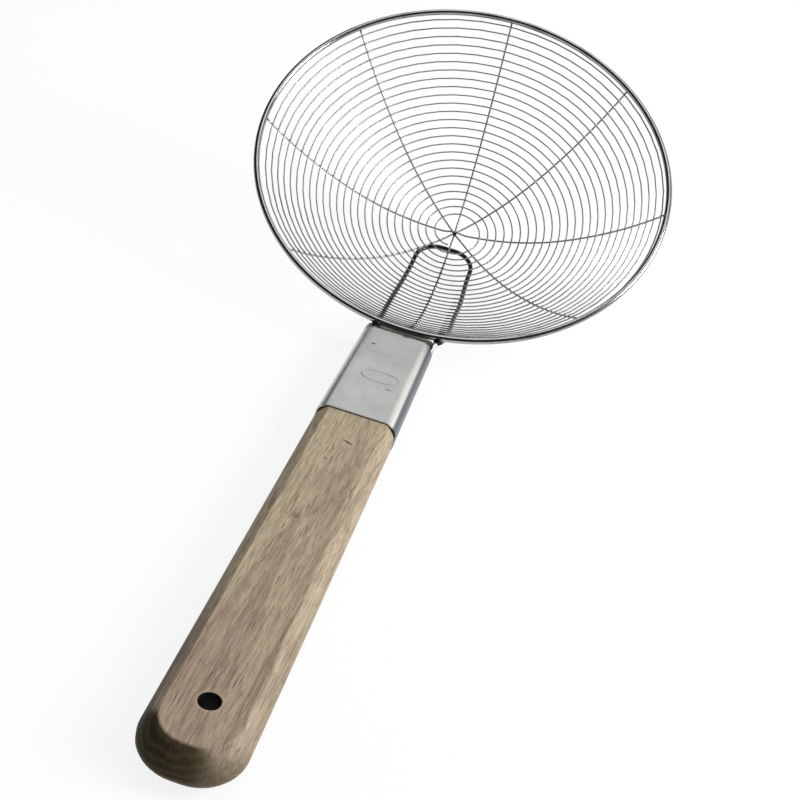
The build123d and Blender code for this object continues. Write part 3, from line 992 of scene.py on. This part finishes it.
stage = {
    "floor": (0.93, 0.93, 0.93), "shadow": 0.14, "worldFill": 0.27, "floorSize": 12, "floorDrop": 0.2,
    "keyPlace": (1.25, 0.3, 0.78), "keySize": 0.6, "keyPower": 26.0,
    "topPlace": (0.1, 0.5, 1.6), "topSize": 1.0, "topPower": 5.0,
    "backPlace": (-0.25, 1.5, 0.95), "backSize": 1.1, "backPower": 4.5,
    "aim": (0, 0, 0.03),      # of all three lamps
    "roomShade": (0.03, 0.034, 0.038), "roomRadius": 3.0,
    "windowFrom": 38.0, "windowTo": 84.0, "windowHigh": 32.0,
    "cameraPlace": (67.90, -548.32, 347.97), "focal": 1421.4, "sensor": 36, "frame": 800,
    "cameraTurn": (           # its right, down and forward
        (0.9494736, 0.2273639, 0.2163457),
        (0.3022811, -0.4770818, -0.8252388),
        (-0.0844150, 0.8489397, -0.5217044)),
}


def seenRays(tree):
    # 1 for what the camera, metal and glass see, 0 for light that bounces on
    tree.nodes.clear()
    path = tree.nodes.new("ShaderNodeLightPath").outputs
    kinds = [Strand(tree, path[f"Is {kind} Ray"]) for kind in ("Camera", "Glossy", "Transmission")]
    return kinds[0].top(kinds[1]).top(kinds[2])


startFresh()
bpy.ops.mesh.primitive_plane_add(size=stage["floorSize"], location=(0, 0, -stage["floorDrop"] * mm))
floor = newest("floor")
made = bpy.data.materials.new("floorPaper")
made.use_nodes = True
seen = seenRays(made.node_tree)
paper = seen.node("ShaderNodeBsdfDiffuse", None, {"Color": (*stage["floor"], 1)})
glow = seen.node("ShaderNodeEmission", None, {"Color": (1, 1, 1, 1), "Strength": 1.0})
mixed = seen.node("ShaderNodeMixShader", None, {0: seen * (1 - stage["shadow"]), 1: paper, 2: glow})
seen.node("ShaderNodeOutputMaterial", None, {"Surface": mixed})
floor.data.materials.append(made)


def inWindow(place):
    # the room's bright side, at the back on the right
    around = degrees(atan2(place.y, place.x))
    up = degrees(asin(place.z / place.length))
    return stage["windowFrom"] < around < stage["windowTo"] and up < stage["windowHigh"]


startFresh()
bpy.ops.mesh.primitive_uv_sphere_add(segments=64, ring_count=32, radius=stage["roomRadius"])
room = newest("darkRoom")  # the dark room round the lamps, which only the metal sees
edit(room)
pick(room, lambda v: v.co.z < -0.01)
bpy.ops.mesh.delete(type="VERT")
pick(room, lambda f: inWindow(f.calc_center_median()), "FACE")
bpy.ops.mesh.delete(type="FACE")
bpy.ops.object.mode_set(mode="OBJECT")
room.visible_camera = False
room.visible_shadow = False
room.visible_diffuse = False
made = bpy.data.materials.new("roomPaint")
made.use_nodes = True
paint = made.node_tree.nodes["Principled BSDF"].inputs
paint["Base Color"].default_value = (0, 0, 0, 1)
paint["Specular IOR Level"].default_value = 0
paint["Emission Color"].default_value = (*stage["roomShade"], 1)
paint["Emission Strength"].default_value = 1.0
room.data.materials.append(made)

world = bpy.context.scene.world or bpy.data.worlds.new("World")
bpy.context.scene.world = world
world.use_nodes = True
seen = seenRays(world.node_tree)
fill = seen.node("ShaderNodeBackground", None, {"Color": (1, 1, 1, 1), "Strength": stage["worldFill"]})
white = seen.node("ShaderNodeBackground", None, {"Color": (1, 1, 1, 1), "Strength": 1.0})
mixed = seen.node("ShaderNodeMixShader", None, {0: seen, 1: fill, 2: white})
seen.node("ShaderNodeOutputWorld", None, {"Surface": mixed})

for name in ("key", "top", "back"):
    place = stage[name + "Place"]
    startFresh()
    bpy.ops.object.light_add(type="AREA", location=place)
    lamp = bpy.context.object
    lamp.name = name + "Light"
    lamp.data.size = stage[name + "Size"]
    lamp.data.energy = stage[name + "Power"]
    lamp.rotation_euler = (Vector(stage["aim"]) - Vector(place)).to_track_quat("-Z", "Y").to_euler()

startFresh()
bpy.ops.object.camera_add()
camera = bpy.context.object
camera.name = "photoCamera"
camera.data.sensor_width = stage["sensor"]
camera.data.lens = stage["focal"] * stage["sensor"] / stage["frame"]
camera.data.clip_start = 0.01
right, down, forward = (Vector(row) for row in stage["cameraTurn"])
turn = Matrix((right, -down, -forward)).transposed()
camera.matrix_world = Matrix.Translation(Vector(stage["cameraPlace"]) * mm) @ turn.to_4x4()
bpy.context.scene.camera = camera
bpy.context.scene.view_settings.view_transform = "Standard"
print("stage and camera set")
